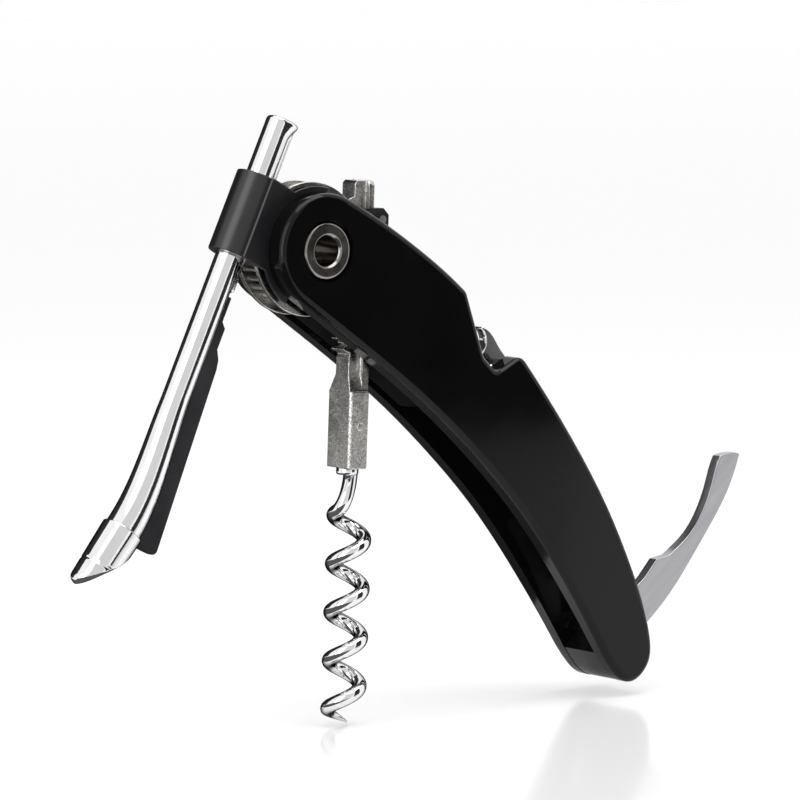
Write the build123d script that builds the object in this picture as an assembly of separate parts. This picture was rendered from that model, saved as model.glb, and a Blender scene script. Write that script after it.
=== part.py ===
from build123d import *
from math import acos, cos, pi, radians, sin, tan
import os

# Lever corkscrew, standing open. Millimetres, Z up, the worm hangs straight down.
# Origin: centre of the hollow pivot, on the plane of symmetry Y = 0. X points to the worm and the tail.
# The handle is drawn in its own U, V plane: U from the pivot to the tail, V to the spine.
# The arm is drawn in its own T, P plane: T from the pivot down along the rod, P to the worm.

# Pose in which the part is drawn
HANDLE_SLOPE = 42.6         # degrees that the handle hangs below level
ARM_SLOPE = 23.3            # degrees between the rod and the worm

# Pivot: hollow rivet through the whole head
PIVOT_BORE_R = 3.0
PIVOT_WALL = 1.3
PIVOT_FLANGE_R = 6.0
PIVOT_FLANGE_T = 0.95
PIVOT_CHAMFER = 0.55
PIVOT_ROUND = 0.8

# Pinion between two flanges that are keyed to the handle, and the rack that it drives
MODULE = 0.7
TEETH = 32
PRESSURE_ANGLE = 20.0
BACKLASH = 0.12             # taken off the width of each tooth, at the pitch line
ROOT_ROOM = 0.2             # between a tooth's tip and the root that it faces
PINION_WEB_HALF = 2.4       # half the width of the toothed middle
SHROUD_T = 1.0              # rim of a flange
SHROUD_R = 13.8
HUB_R = 5.7
HUB_KEY_HALF = 4.9          # half the distance over the two flats of the hub's ends
FLANK_STEPS = 4             # spans in which a tooth's flank is drawn

# Clearances
RUN = 0.05                  # radial, shaft in a hole
SIDE = 0.1                  # between plates that slide on each other
SEAT = 0.02                 # pieces of one body that are set in each other
GUIDE_GAP = 0.12            # carrier in its guide

# Guide that holds the rack against the pinion
LINK_T = 0.7
LINK_END_R = 8.0            # round end of a link at the pivot
GUIDE_BLOCK_T = 3.0
GUIDE_TOP = 8.4
GUIDE_BOTTOM = -7.2
GUIDE_CHAMFER = 1.4
GUIDE_PIN_R = 0.9
GUIDE_PIN_INSET = 2.4       # from the block's end to the pin's axis

# Collar that carries the rod
CHEEK_T = 0.7
CHEEK_R = 13.0
CHEEK_EDGE_ANGLE = 48.0     # where the web leaves the cheeks' round edge
CHEEK_CUT = -2.0            # the cheeks stop short of the worm at this P
CHEEK_EYE_R = 8.1           # eye round the pinion's hub
ROD_OFFSET = 15.9           # from the pivot's axis to the rod's axis
COLLAR_TOP = -9.0
COLLAR_BOTTOM = 8.3
COLLAR_WALL = 1.75
KEYWAY_ROOM = 0.12
POCKET_ROOM = 0.3           # between the pinion's rim and the collar

# Support rod: tube-like bar with a rib on its inner side, bent outwards below
ROD_R = 2.85
ROD_TOP = -21.9
ROD_TOP_ROUND = 0.6
RIB_HALF = 0.9
RIB_HEIGHT = 0.85
RIB_ROUND = 0.35
RIB_END = 15.5
RIB_STOP_HEIGHT = 0.8       # lug on the rib's upper end that keeps the rod from sliding out
RIB_STOP_LENGTH = 2.6
ROD_BEND_START = 40.0
ROD_END_R = 3.9
FOOT_START = 68.7
FOOT_DROP = 0.8             # how far the foot's start lies outside the rod's straight line
FOOT_SLOPE = 14.0           # degrees that the foot leans out from the rod
TENON_R = 2.9               # reduced end of the rod, set in the foot
TENON_LENGTH = 6.0
SLEEVE_LENGTH = 9.0
SLEEVE_R = 4.4
SLEEVE_LOW_R = 4.3          # the sleeve narrows downwards
NOSE_R = 4.0
NOSE_LENGTH = 5.7
NOSE_ROUND = 2.2
NOSE_HOLLOW_R = 3.0
NOSE_HOLLOW_DEPTH = 5.0
RIM_CUT_R = 13.0            # round cut that lets the foot hook over a rim
RIM_CUT_BELOW = 0.6         # its deepest point, beyond the nose's end
RIM_CUT_DEPTH = 1.0         # and outside the foot's axis

# Stop fin, a steel plate held in a slot on the inner side of the rod
FIN_HALF = 0.9
FIN_START = 16.1
# From its start, and over the rod's axis
FIN_EDGE = [(0, 3.7), (5.2, 3.7), (6.3, 4.9), (10.8, 4.9), (12.7, 6.1), (14.6, 6.5)]
FIN_END = 70.7
FIN_END_HEIGHT = 8.6
FIN_CORNER = 1.2
FIN_SLOT = 1.3              # height of the slot's floor over the rod's axis

# Carrier: block with a T-shaped rack bar, cast in one
BLOCK_NEAR = 11.4           # from the pivot's axis to the face of the block
BLOCK_DEEP = 5.0
BLOCK_HALF = 4.0
BLOCK_TOP = -29.6
BLOCK_BOTTOM = -45.6
SHOULDER = 3.4
BLOCK_EDGE = 0.5
BAR_TOP = 14.0
BAR_TOP_ROUND = 1.2
BAR_NEAR = 11.9             # face of the bar below the teeth
BAR_WEB_HALF = 2.2
BAR_FLANGE_HALF = 3.3
BAR_FLANGE_T = 1.5
HEAD_CHAMFER = 0.6          # on the end of the bar above the teeth
RACK_TOP = 12.0
RACK_BOTTOM = -22.5
RACK_END_ROOM = 1.0         # plain bar at each end of the teeth

# Worm
WORM_AXIS = 15.0            # from the pivot's axis
WORM_R = 4.7                # outside radius
WIRE_R = 1.35
WORM_PITCH = 10.15
WORM_TOP = -54.9            # upper end of the full coil
WORM_TURNS = 4.1            # turns of full wire, above the tapered point
POINT_TURN = 0.27
POINT_R = 0.2
SHANK_SHIFT = -1.0          # from the worm's axis to its shank's axis
SHANK_R = 2.2
SHANK_DEPTH = 9.0           # in the block
SHANK_LENGTH = 10.5
LEAD_START = 0.9            # the wire leaves the shank's middle this far above its lower end
LEAD_BEND = (0.9, 1.4)      # how strongly the wire keeps its direction at each end of the neck
WORM_PIN_R = 0.8
WORM_PIN_Z = -37.0

# Handle scales and the keyed liners that are let into them
CHANNEL_HALF = 5.1          # half the gap between the scales
SCALE_T = 4.65
TAIL_THIN = 1.45            # how much thinner each scale is at the tail
THIN_START = 58.0
HEAD_R = 11.8
HEAD_TOP_ANGLE = 108.0      # where the spine leaves the round head
HEAD_BOTTOM_ANGLE = -80.0   # where the belly leaves it
SCALE_ROUND = 1.3
FLANGE_RECESS_R = 6.4
FLANGE_SINK = 0.2           # the pivot's flange lies this far below the scale's face
LINER_T = 0.6
LINER_INSET = 1.3
LINER_END_R = 23.4
LINER_CENTRE = (33.0, 16.0)
INSET_STEPS = 10            # spans in which a curve is drawn again when it is moved inwards
KEY_DEPTH = 1.2             # how far the hub's flats go into a scale
NECK_POINT = (18.1, 16.6)
SPINE_CORNER = (33.1, 18.5)
NOTCH_FLOOR = (46.2, 51.2)  # from this U to that
NOTCH_V = 12.0
NOTCH_CORNER = (53.5, 18.9)
CORNER_ROUND = 2.2
SPINE_NEAR = (63.0, 17.85)   # on the spine, behind the notch
SPINE_RISE = [(-40.4, 18.5), (-27.5, 15.7), (-11.8, 10.8)]    # from the knife's pin
TAIL_TOP = (1.0, 5.2)       # from the knife's pin, as are the next two
TAIL_END = (7.6, -2.0)
TAIL_BOTTOM = (1.2, -8.3)
BELLY_DROP = [(-8.1, -6.7), (-22.0, -3.9), (-45.0, -0.9), (-60.0, -0.7)]     # from the knife's pin
BELLY_NEAR = [(41.7, -5.3), (24.0, -7.8)]

# Pieces between the scales
FILLING_INSET = 0.7         # they stand back this far from the scales' edges
SPINE_T = 2.6
FRONT_START = 32.0          # clear of the rack bar when the handle is folded
FRONT_END = 47.2
SPINE_START = 52.8
SPINE_HEEL = 67.0           # the solid front part of the spine ends here
SPINE_HEEL_V = 11.0
SPINE_STOP = 9.0            # its rails end this far before the knife's pin
KNIFE_ROOM = 0.25           # on each side of the knife
TAIL_BLOCK_INSET = 0.1
TAIL_BLOCK_REACH = 4.0      # from the knife's pin towards the pivot
TAIL_BLOCK_LOW = 1.1        # and from the same pin down to its top
SCALE_PIN_R = 0.9
SCALE_PIN_DEPTH = 2.6       # into each scale
SPINE_PINS = [(57.5, 14.6), (64.0, 14.8)]
TAIL_PIN = (-1.7, -6.5)     # from the knife's pin
FRONT_PIN = (40.0, 13.1)    # this one goes through the liners too

# Cap lifter: hooked plate in the notch over a polished trough
LIFTER_HALF = 1.3
LIFTER_ROOT = 6.4           # how far the hook reaches into the spine
TROUGH_HALF = 4.6
TROUGH_R = 4.6
TROUGH_T = 0.8
TROUGH_CENTRE = (49.6, 17.0)
TROUGH_FROM = 208.0         # direction from the centre to the trough's outer end
TROUGH_TO = 345.0           # and to its end under the hook
HOOK_BACK = [(53.1, 20.0), (49.8, 20.6), (47.2, 20.2)]
HOOK_TIP = [(46.7, 19.8), (46.9, 19.4)]
HOOK_BELLY = [(49.1, 18.8), (50.2, 17.4), (50.5, 15.6), (49.4, 13.2)]
HOOK_SHOULDER = (59.2, 18.2)
HOOK_FOOT = (59.2, 12.0)

# Foil knife, drawn unfolded. Its pin stands at KNIFE_U, KNIFE_V, and the other points are given from there.
KNIFE_U = 121.0
KNIFE_V = -3.4
KNIFE_HALF = 1.3
KNIFE_TANG_R = 4.3
KNIFE_PIN_R = 1.25
KNIFE_PIN_DEPTH = 2.6
KNIFE_HEEL = [(-1.9, 14.7), (-2.1, 19.9), (0.0, 22.7)]
KNIFE_EDGE = [(1.2, 31.0), (-1.7, 41.6), (-4.3, 47.6)]
KNIFE_TIP = [(-2.7, 49.9), (-0.4, 51.7)]
KNIFE_BACK = [(2.3, 45.3), (4.8, 31.3), (6.1, 14.9), (5.5, 7.7)]
SPACER_R = 3.2
TAIL_LINER_R = 2.4          # round end of the liner at the knife's pin
TAIL_LINER = [(-2.4, -1.7), (-5.0, -0.7), (-9.0, 0.8), (-16.6, 3.2), (-28.0, 5.6), (-28.0, 8.6), (-9.0, 6.6)]

# Sizes that follow from the ones above
PITCH_R = MODULE * TEETH / 2
TIP_R = PITCH_R + MODULE
ROOT_R = PITCH_R - MODULE - ROOT_ROOM
SHROUD_Y = PINION_WEB_HALF + SHROUD_T
LINK_Y = SHROUD_Y + SIDE
CHEEK_Y = LINK_Y + LINK_T + SIDE
SCALE_Y = CHANNEL_HALF
OUTER_Y = SCALE_Y + SCALE_T
TUBE_R = PIVOT_BORE_R + PIVOT_WALL
BLOCK_FAR = BLOCK_NEAR + BLOCK_DEEP
GUIDE_NEAR = BLOCK_FAR + GUIDE_GAP
GUIDE_FAR = GUIDE_NEAR + GUIDE_BLOCK_T
COLLAR_R = ROD_R + RUN + COLLAR_WALL
HUB_END = SCALE_Y + LINER_T + KEY_DEPTH

HANDLE = Rot(0, HANDLE_SLOPE, 0)
ARM = Rot(0, 90 + ARM_SLOPE, 0)


def slab(sketch, low, high):
    """Plate of an outline drawn in the X-Z plane, from Y = low to Y = high."""
    plane = Plane((0, low, 0), x_dir=(1, 0, 0), z_dir=(0, -1, 0))
    return extrude(plane * sketch, amount=-(high - low))


def pin(x, z, radius, low, high):
    """Round pin along Y."""
    return slab(Pos(x, z) * Circle(radius), low, high)


def box(x0, x1, y0, y1, z0, z1):
    return Pos((x0 + x1) / 2, (y0 + y1) / 2, (z0 + z1) / 2) * Box(x1 - x0, y1 - y0, z1 - z0)


def from_knife_pin(points):
    """Places in the handle's plane for points that are measured from the knife's pin."""
    return [(KNIFE_U + u, KNIFE_V + v) for u, v in points]


# ---------------------------------------------------------------- pinion and rack

def tooth_outline():
    """One pinion tooth on the +X axis, with involute flanks and the gap's floor on each side."""
    base_r = PITCH_R * cos(radians(PRESSURE_ANGLE))
    half_at_pitch = (pi * MODULE / 2 - BACKLASH) / 2 / PITCH_R

    def involute(radius):
        angle = acos(min(1.0, base_r / radius))
        return tan(angle) - angle

    flank = []
    low = max(base_r, ROOT_R)
    for i in range(FLANK_STEPS + 1):
        radius = low + (TIP_R - low) * i / FLANK_STEPS
        turn = half_at_pitch + involute(PITCH_R) - involute(radius)
        flank.append((radius * cos(turn), radius * sin(turn)))
    inside = (ROOT_R - 0.5, flank[0][1])
    upper = [inside] + flank
    lower = [(x, -y) for x, y in reversed(upper)]
    return make_face(Polyline(*upper, *lower, close=True))


def make_pinion():
    """Toothed wheel between the two flanges."""
    sketch = Circle(ROOT_R)
    tooth = tooth_outline()
    sketch += [Rot(0, 0, 360 / TEETH * i) * tooth for i in range(TEETH)]
    half = PINION_WEB_HALF - SEAT
    return slab(sketch - Circle(TUBE_R + SEAT), -half, half)


def make_pinion_flange(side):
    """Rim beside the teeth, round hub for the links and cheeks, and a keyed end in the scale."""
    body = slab(Circle(SHROUD_R), PINION_WEB_HALF, SHROUD_Y)
    body += slab(Circle(HUB_R), SHROUD_Y, CHEEK_Y + CHEEK_T)
    body += HANDLE * slab(key_sketch(0), SHROUD_Y, HUB_END)
    body -= slab(Circle(TUBE_R + SEAT), 0, HUB_END)
    return body if side > 0 else mirror(body, Plane.XZ)


def key_sketch(room):
    """Hub end with two flats."""
    return Circle(HUB_R + room) & Rectangle(3 * HUB_R, 2 * (HUB_KEY_HALF + room))


def rack_tooth():
    """One rack tooth that points to the pinion, with its root drawn into the bar."""
    slope = tan(radians(PRESSURE_ANGLE))
    half = (pi * MODULE / 2 - BACKLASH) / 2
    tip = (PITCH_R - MODULE, half - slope * MODULE)
    root = (PITCH_R + MODULE + ROOT_ROOM, half + slope * (MODULE + ROOT_ROOM))
    inside = (root[0] + ROOT_ROOM, root[1])
    upper = [inside, root, tip]
    return make_face(Polyline(*upper, *[(x, -z) for x, z in reversed(upper)], close=True))


def make_carrier():
    """Block for the worm, with the rack bar above it; a gap of the rack faces the pivot."""
    root_x = PITCH_R + MODULE + ROOT_ROOM
    flange_x = BLOCK_FAR - BAR_FLANGE_T
    web = box(root_x, flange_x, -BAR_WEB_HALF, BAR_WEB_HALF, BLOCK_TOP, BAR_TOP)
    web = chamfer([e for e in web.edges().filter_by(Axis.Y) if e.center().Z > BAR_TOP - SEAT
                   and e.center().X < flange_x - SEAT], HEAD_CHAMFER)
    web += box(BAR_NEAR, root_x, -BAR_WEB_HALF, BAR_WEB_HALF, BLOCK_TOP, RACK_BOTTOM)
    pitch = pi * MODULE
    count = int((RACK_TOP - RACK_BOTTOM) / pitch) + 2
    centres = [(i + 0.5 - count) * pitch for i in range(2 * count)]
    centres = [z for z in centres if RACK_BOTTOM + RACK_END_ROOM < z < RACK_TOP - RACK_END_ROOM]
    teeth = [slab(Pos(0, z) * rack_tooth(), -BAR_WEB_HALF, BAR_WEB_HALF) for z in centres]
    flange = box(flange_x, BLOCK_FAR, -BAR_FLANGE_HALF, BAR_FLANGE_HALF, BLOCK_TOP, BAR_TOP)
    flange = fillet([e for e in flange.edges().filter_by(Axis.X) if e.center().Z > 0], BAR_TOP_ROUND)
    block = box(BLOCK_NEAR, BLOCK_FAR, -BLOCK_HALF, BLOCK_HALF, BLOCK_BOTTOM, BLOCK_TOP)
    block = chamfer(block.edges().filter_by(Axis.Z), BLOCK_EDGE)
    shoulder = loft([
        Pos((BLOCK_NEAR + BLOCK_FAR) / 2, 0, BLOCK_TOP)
        * Rectangle(BLOCK_DEEP, 2 * BLOCK_HALF - 2 * BLOCK_EDGE),
        Pos((BAR_NEAR + BLOCK_FAR) / 2, 0, BLOCK_TOP + SHOULDER)
        * Rectangle(BLOCK_FAR - BAR_NEAR, 2 * BAR_WEB_HALF)])
    solid = web + flange + block + shoulder
    solid += teeth
    shank_x = WORM_AXIS + SHANK_SHIFT
    solid -= Pos(shank_x, 0, BLOCK_BOTTOM + SHANK_DEPTH / 2) * Cylinder(SHANK_R + SEAT, SHANK_DEPTH)
    return solid - pin(shank_x, WORM_PIN_Z, WORM_PIN_R + SEAT, -BLOCK_HALF, BLOCK_HALF)


# ---------------------------------------------------------------- worm

def make_worm():
    shank_x = WORM_AXIS + SHANK_SHIFT
    shank_low = BLOCK_BOTTOM + SHANK_DEPTH - SHANK_LENGTH
    shank = Pos(shank_x, 0, shank_low + SHANK_LENGTH / 2) * Cylinder(SHANK_R, SHANK_LENGTH)
    shank -= pin(shank_x, WORM_PIN_Z, WORM_PIN_R + SEAT, -SHANK_R, SHANK_R)

    def turns(first, count):
        """Right-handed helix that goes down from the -X side, past +Y."""
        return Pos(WORM_AXIS, 0, WORM_TOP - first * WORM_PITCH) * Rot(180, 0, 180 + 360 * first) * Helix(
            WORM_PITCH, count * WORM_PITCH, WORM_R - WIRE_R)

    coil_path = turns(0, WORM_TURNS)
    lead = Spline((shank_x, 0, shank_low + LEAD_START), coil_path @ 0, tangents=((0, 0, -1), coil_path % 0),
                  tangent_scalars=LEAD_BEND)
    neck = sweep(Plane(lead @ 0, z_dir=lead % 0) * Circle(WIRE_R), path=lead)
    coil = sweep(Plane(coil_path @ 0, z_dir=coil_path % 0) * Circle(WIRE_R), path=coil_path, is_frenet=True)
    point_path = turns(WORM_TURNS, POINT_TURN)
    point = sweep([Plane(point_path @ 0, z_dir=point_path % 0) * Circle(WIRE_R),
                   Plane(point_path @ 1, z_dir=point_path % 1) * Circle(POINT_R)],
                  path=point_path, multisection=True, is_frenet=True)
    return shank + neck + coil + point


# ---------------------------------------------------------------- guide

def guide_pin_places():
    x = (GUIDE_NEAR + GUIDE_FAR) / 2
    return [(x, GUIDE_TOP - GUIDE_PIN_INSET), (x, GUIDE_BOTTOM + GUIDE_PIN_INSET)]


def make_guide_block():
    """Block behind the rack bar, with its outer corners cut off."""
    y = LINK_Y - SEAT
    block = box(GUIDE_NEAR, GUIDE_FAR, -y, y, GUIDE_BOTTOM, GUIDE_TOP)
    far = [e for e in block.edges().filter_by(Axis.Y) if e.center().X > GUIDE_FAR - 1e-6]
    block = chamfer(far, GUIDE_CHAMFER)
    for x, z in guide_pin_places():
        block -= pin(x, z, GUIDE_PIN_R + SEAT, -LINK_Y, LINK_Y)
    return block


def make_guide_link(side):
    """Plate from the pinion's hub to the guide block."""
    cut = GUIDE_FAR - GUIDE_CHAMFER
    arm = make_face(Polyline(
        (0, LINK_END_R), (0, -LINK_END_R), (GUIDE_NEAR, GUIDE_BOTTOM), (cut, GUIDE_BOTTOM),
        (GUIDE_FAR, GUIDE_BOTTOM + GUIDE_CHAMFER), (GUIDE_FAR, GUIDE_TOP - GUIDE_CHAMFER),
        (cut, GUIDE_TOP), (GUIDE_NEAR, GUIDE_TOP), close=True))
    sketch = Circle(LINK_END_R) + arm - Circle(HUB_R + RUN)
    for x, z in guide_pin_places():
        sketch -= Pos(x, z) * Circle(GUIDE_PIN_R + SEAT)
    low, high = sorted((side * LINK_Y, side * (LINK_Y + LINK_T)))
    return slab(sketch, low, high)


# ---------------------------------------------------------------- handle

def handle_outline():
    """Outline of a scale: round head, spine with its notch, round tail and curved belly."""
    top = Vector(HEAD_R, 0).rotate(Axis.Z, HEAD_TOP_ANGLE)
    bottom = Vector(HEAD_R, 0).rotate(Axis.Z, HEAD_BOTTOM_ANGLE)
    top_way = top.rotate(Axis.Z, -90)
    bottom_way = bottom.rotate(Axis.Z, -90)
    neck = Spline(top, NECK_POINT, SPINE_CORNER, tangents=(top_way, (1, 0.05)))
    slope = Line(SPINE_CORNER, (NOTCH_FLOOR[0], NOTCH_V))
    floor = Line(slope @ 1, (NOTCH_FLOOR[1], NOTCH_V))
    wall = Line(floor @ 1, NOTCH_CORNER)
    tail_top, tail_end, tail_bottom = from_knife_pin([TAIL_TOP, TAIL_END, TAIL_BOTTOM])
    spine = Spline(NOTCH_CORNER, SPINE_NEAR, *from_knife_pin(SPINE_RISE), tail_top,
                   tangents=((1, -0.08), (0.87, -0.5)))
    tail = Spline(tail_top, tail_end, tail_bottom, tangents=((0.87, -0.5), (-1, 0.05)))
    belly = Spline(tail_bottom, *from_knife_pin(BELLY_DROP), *BELLY_NEAR, bottom,
                   tangents=((-1, 0.05), bottom_way))
    head = ThreePointArc(bottom, (-HEAD_R, 0), top)
    face = make_face([neck, slope, floor, wall, spine, tail, belly, head])
    corners = [v for v in face.vertices() if NECK_POINT[0] < v.X < SPINE_NEAR[0] and v.Y > 0]
    return fillet(corners, CORNER_ROUND)


OUTLINE = handle_outline()


def inset(distance):
    """Outline of the scale moved inwards, with its curves drawn again as plain splines."""
    edges = []
    for edge in offset(OUTLINE, -distance).faces()[0].outer_wire().edges():
        if edge.geom_type in (GeomType.LINE, GeomType.CIRCLE):
            edges.append(edge)
        else:
            points = [edge @ (i / INSET_STEPS) for i in range(INSET_STEPS + 1)]
            edges.append(Spline(*points, tangents=(edge % 0, edge % 1)))
    return make_face(edges)


def scale_pin_places():
    return SPINE_PINS + from_knife_pin([TAIL_PIN]) + [FRONT_PIN]


def make_scale(side):
    """Moulded scale, thinner at the tail, with the liner and the pivot's flange let in."""
    plate = slab(OUTLINE, SCALE_Y, OUTER_Y)
    start = (-2 * HEAD_R, OUTER_Y)
    end = (KNIFE_U + TAIL_END[0] + SCALE_ROUND, OUTER_Y - TAIL_THIN)
    side_view = make_face([
        Line((start[0], SCALE_Y), start), Line(start, (THIN_START, OUTER_Y)),
        TangentArc((THIN_START, OUTER_Y), end, tangent=(1, 0)),
        Line(end, (end[0], SCALE_Y)), Line((end[0], SCALE_Y), (start[0], SCALE_Y))])
    body = plate & extrude(side_view, amount=3 * HEAD_R, both=True)
    # Every edge of the outer face, except the line where the scale begins to thin
    rim = [e for e in body.edges() if e.bounding_box().min.Y > OUTER_Y - TAIL_THIN - SEAT
           and not (e.geom_type == GeomType.LINE and abs((e % 0.5).Z) > 0.99)]
    body = fillet(rim, SCALE_ROUND)
    body -= liner_plate(SEAT)
    body -= slab(tail_liner_sketch(SEAT), SCALE_Y, SCALE_Y + LINER_T + SEAT)
    body -= slab(key_sketch(SEAT), SCALE_Y, HUB_END + SEAT)
    body -= slab(Circle(TUBE_R + SEAT), SCALE_Y, OUTER_Y)
    body -= slab(Circle(FLANGE_RECESS_R), OUTER_Y - FLANGE_SINK - PIVOT_FLANGE_T, OUTER_Y)
    for u, v in scale_pin_places():
        body -= pin(u, v, SCALE_PIN_R + SEAT, SCALE_Y, SCALE_Y + SCALE_PIN_DEPTH)
    body -= pin(KNIFE_U, KNIFE_V, KNIFE_PIN_R + SEAT, SCALE_Y, SCALE_Y + KNIFE_PIN_DEPTH)
    return HANDLE * (body if side > 0 else mirror(body, Plane.XZ))


def liner_plate(room):
    """Inset copy of the head that ends in a round edge below the notch, from the scale's inner face."""
    high = SCALE_Y + LINER_T + room
    reach = slab(Pos(*LINER_CENTRE) * Circle(LINER_END_R + room), SCALE_Y, high)
    reach += box(-2 * HEAD_R, LINER_CENTRE[0], SCALE_Y, high, -2 * HEAD_R, 2 * HEAD_R)
    return slab(inset(LINER_INSET - room), SCALE_Y, high) & reach


def make_liner(side):
    plate = liner_plate(0) - slab(key_sketch(SEAT), SCALE_Y, SCALE_Y + LINER_T)
    plate -= pin(*FRONT_PIN, SCALE_PIN_R + SEAT, SCALE_Y, SCALE_Y + LINER_T)
    return HANDLE * (plate if side > 0 else mirror(plate, Plane.XZ))


def filling(edge_gap, low_u, high_u, low_v, high_v):
    """Piece of the space between the scales, as wide as the channel, inside a rectangle."""
    y = SCALE_Y - SEAT
    return slab(inset(edge_gap), -y, y) & box(low_u, high_u, -y, y, low_v, high_v)


def make_spine():
    """Filling behind the notch that runs on as two rails beside the folded knife."""
    y = SCALE_Y - SEAT
    high = 3 * HEAD_R
    solid = filling(FILLING_INSET, SPINE_START, SPINE_HEEL, SPINE_HEEL_V, high)
    spine_end = KNIFE_U - SPINE_STOP
    rails = filling(FILLING_INSET, SPINE_HEEL, spine_end, 0, high)
    solid += rails - slab(inset(FILLING_INSET + SPINE_T), -y, y)
    slot = KNIFE_HALF + KNIFE_ROOM
    solid -= box(SPINE_HEEL, spine_end, -slot, slot, 0, high)
    root = LIFTER_HALF + SEAT
    solid -= box(SPINE_START, SPINE_START + LIFTER_ROOT + SEAT, -root, root, SPINE_HEEL_V, high)
    solid -= slab(Pos(*TROUGH_CENTRE) * Circle(TROUGH_R + TROUGH_T + SEAT), -y, y)
    for u, v in SPINE_PINS:
        solid -= pin(u, v, SCALE_PIN_R + SEAT, -y, y)
    return HANDLE * solid


def make_front_filling():
    """Strip that closes the spine from the head to the notch."""
    y = SCALE_Y - SEAT
    solid = filling(FILLING_INSET, FRONT_START, FRONT_END, 0, 3 * HEAD_R)
    solid -= slab(inset(FILLING_INSET + SPINE_T), -y, y)
    solid -= slab(Pos(*TROUGH_CENTRE) * Circle(TROUGH_R + TROUGH_T + SEAT), -y, y)
    return HANDLE * (solid - pin(*FRONT_PIN, SCALE_PIN_R + SEAT, -y, y))


def make_tail_block():
    """Filling that closes the tail below the knife."""
    y = SCALE_Y - SEAT
    top = KNIFE_V - TAIL_BLOCK_LOW
    solid = filling(TAIL_BLOCK_INSET, KNIFE_U - TAIL_BLOCK_REACH, 2 * KNIFE_U, -2 * HEAD_R, top)
    solid -= slab(Pos(KNIFE_U, KNIFE_V) * Circle(KNIFE_TANG_R + 2 * KNIFE_ROOM), -y, y)
    return HANDLE * (solid - pin(*from_knife_pin([TAIL_PIN])[0], SCALE_PIN_R + SEAT, -y, y))


def make_cap_lifter():
    """Hooked plate over a trough; the hook's root lies in the spine's slot."""
    foot = (HOOK_BELLY[-1][0], NOTCH_V)
    hook = make_face([
        Line(HOOK_FOOT, HOOK_SHOULDER),
        Spline(HOOK_SHOULDER, *HOOK_BACK, tangents=((-0.6, 1), (-0.8, -0.5))),
        ThreePointArc(HOOK_BACK[-1], *HOOK_TIP),
        Spline(HOOK_TIP[-1], *HOOK_BELLY, tangents=((1, 0.1), (-0.7, -1))),
        Line(HOOK_BELLY[-1], foot), Line(foot, HOOK_FOOT)])
    middle = (TROUGH_FROM + TROUGH_TO) / 2
    reach = 2 * TROUGH_R
    ends = [Vector(reach, 0).rotate(Axis.Z, angle) for angle in (TROUGH_FROM, middle, TROUGH_TO)]
    trough = (Circle(TROUGH_R + TROUGH_T) - Circle(TROUGH_R)) & make_face(Polyline((0, 0), *ends, close=True))
    solid = slab(Pos(*TROUGH_CENTRE) * trough, -TROUGH_HALF, TROUGH_HALF)
    solid += slab(hook, -LIFTER_HALF, LIFTER_HALF)
    return HANDLE * (solid - pin(*SPINE_PINS[0], SCALE_PIN_R + SEAT, -TROUGH_HALF, TROUGH_HALF))


def make_pivot_tube():
    """Hollow rivet with its flange on the -Y side."""
    end = OUTER_Y - FLANGE_SINK
    tube = slab(Circle(TUBE_R), -end, end) + slab(Circle(PIVOT_FLANGE_R), -end, -end + PIVOT_FLANGE_T)
    tube -= slab(Circle(PIVOT_BORE_R), -end, end)
    mouths = [e for e in tube.edges() if e.geom_type == GeomType.CIRCLE
              and abs(abs(e.center().Y) - end) < 1e-4 and abs(e.radius - PIVOT_BORE_R) < 1e-4]
    tube = chamfer(mouths, PIVOT_CHAMFER)
    brim = [e for e in tube.edges() if e.geom_type == GeomType.CIRCLE
            and abs(e.center().Y + end) < 1e-4 and abs(e.radius - PIVOT_FLANGE_R) < 1e-4]
    return fillet(brim, PIVOT_ROUND)


def make_pivot_ring():
    """Ring that the rivet's other end is set in."""
    end = OUTER_Y - FLANGE_SINK
    ring = slab(Circle(PIVOT_FLANGE_R) - Circle(TUBE_R + SEAT), end - PIVOT_FLANGE_T, end)
    brim = [e for e in ring.edges() if e.geom_type == GeomType.CIRCLE
            and abs(e.center().Y - end) < 1e-4 and abs(e.radius - PIVOT_FLANGE_R) < 1e-4]
    return fillet(brim, PIVOT_ROUND)


def make_scale_pins():
    reach = SCALE_Y + SCALE_PIN_DEPTH - SEAT
    return Compound(children=[HANDLE * pin(u, v, SCALE_PIN_R, -reach, reach) for u, v in scale_pin_places()])


# ---------------------------------------------------------------- foil knife

def make_knife():
    """Curved blade, hollow towards the handle, with a step where the blade meets its tang."""
    tang, left, right = from_knife_pin([(0, 0), (-KNIFE_TANG_R, 0), (KNIFE_TANG_R, 0)])
    heel, edge, tip, back = map(from_knife_pin, (KNIFE_HEEL, KNIFE_EDGE, KNIFE_TIP, KNIFE_BACK))
    outline = make_face([
        Polyline(left, *heel),
        Spline(heel[-1], *edge, tangents=((0.2, 1), (-0.3, 1))),
        Spline(edge[-1], *tip, tangents=((0.5, 1), (1, 0.4))),
        Spline(tip[-1], *back, right, tangents=((0.5, -1), (-0.1, -1))),
        Line(right, left)])
    outline += Pos(*tang) * Circle(KNIFE_TANG_R)
    blade = slab(outline, -KNIFE_HALF, KNIFE_HALF)
    return HANDLE * (blade - pin(*tang, KNIFE_PIN_R + RUN, -KNIFE_HALF, KNIFE_HALF))


def make_knife_pin():
    reach = SCALE_Y + KNIFE_PIN_DEPTH - SEAT
    return HANDLE * pin(KNIFE_U, KNIFE_V, KNIFE_PIN_R, -reach, reach)


def make_knife_spacer(side):
    """Collar on the knife's pin that keeps the blade in the middle."""
    low, high = sorted((side * (KNIFE_HALF + SIDE), side * (SCALE_Y - SEAT)))
    return HANDLE * slab(Pos(KNIFE_U, KNIFE_V) * (Circle(SPACER_R) - Circle(KNIFE_PIN_R + SEAT)), low, high)


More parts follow.
